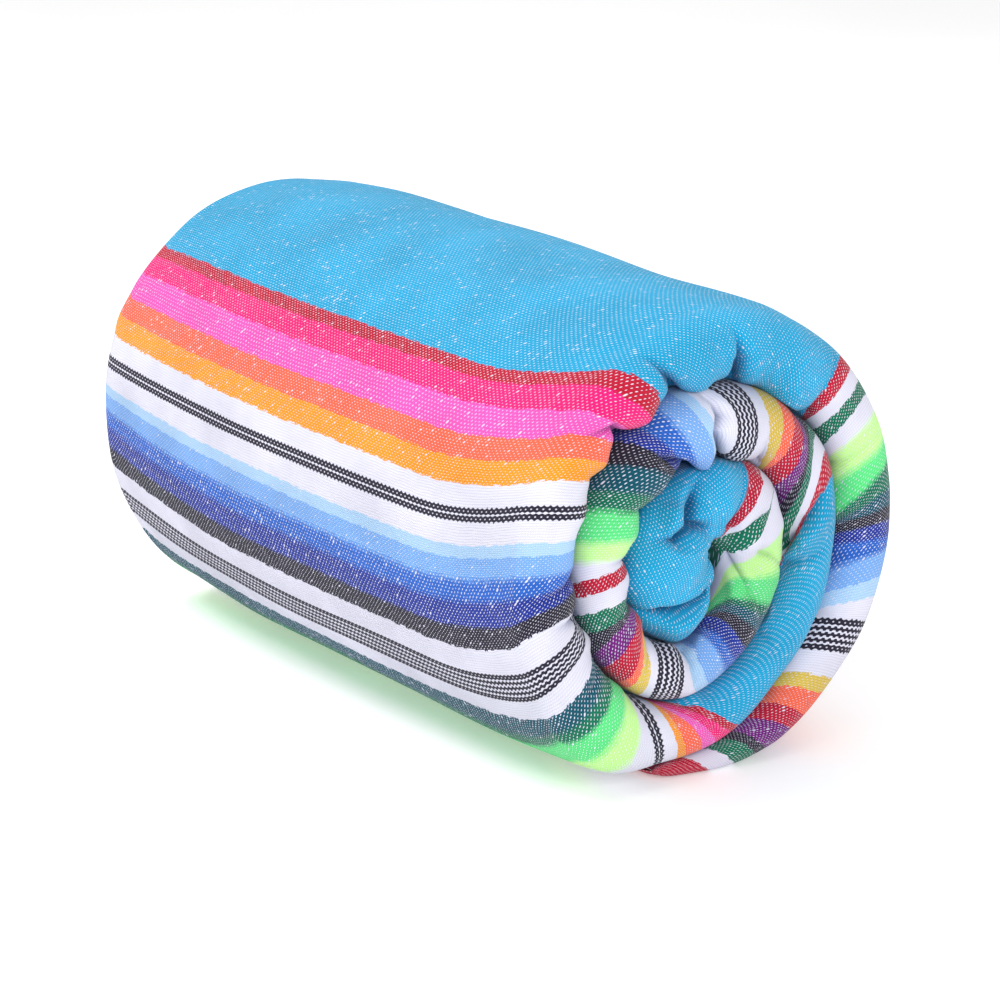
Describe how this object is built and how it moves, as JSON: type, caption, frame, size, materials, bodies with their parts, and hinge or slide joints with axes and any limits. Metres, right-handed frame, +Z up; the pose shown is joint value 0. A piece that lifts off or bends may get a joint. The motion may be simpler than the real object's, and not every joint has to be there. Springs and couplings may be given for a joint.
{
  "type": "rolled serape",
  "caption": "Striped woven serape, folded lengthwise and rolled into a bundle that lies on its side, with the spiral of its folded edges showing at both ends.",
  "frame": {"origin": "middle of the roll's box, on the surface that it lies on", "axes": "+Z up, X along the roll's axis with the end that the picture shows at +X, and the striped front towards -Y"},
  "size_m": [0.324, 0.1976, 0.1914],
  "materials": {
    "outer_cloth": "matte woven cloth, turquoise ground with bands of bright stripes",
    "second_turn_cloth": "matte woven cloth, bands of bright stripes",
    "core_turn_cloth": "matte woven cloth, stripes that end in turquoise",
    "inner_cloth": "matte woven cloth, hidden inside the roll"
  },
  "bodies": {
    "root": {"outer_wrap": "outer_cloth", "second_turn_near": "second_turn_cloth", "second_turn_far": "second_turn_cloth", "core_turn_near": "core_turn_cloth", "core_turn_far": "core_turn_cloth", "hidden_layers": "inner_cloth"}
  },
  "joints": []
}
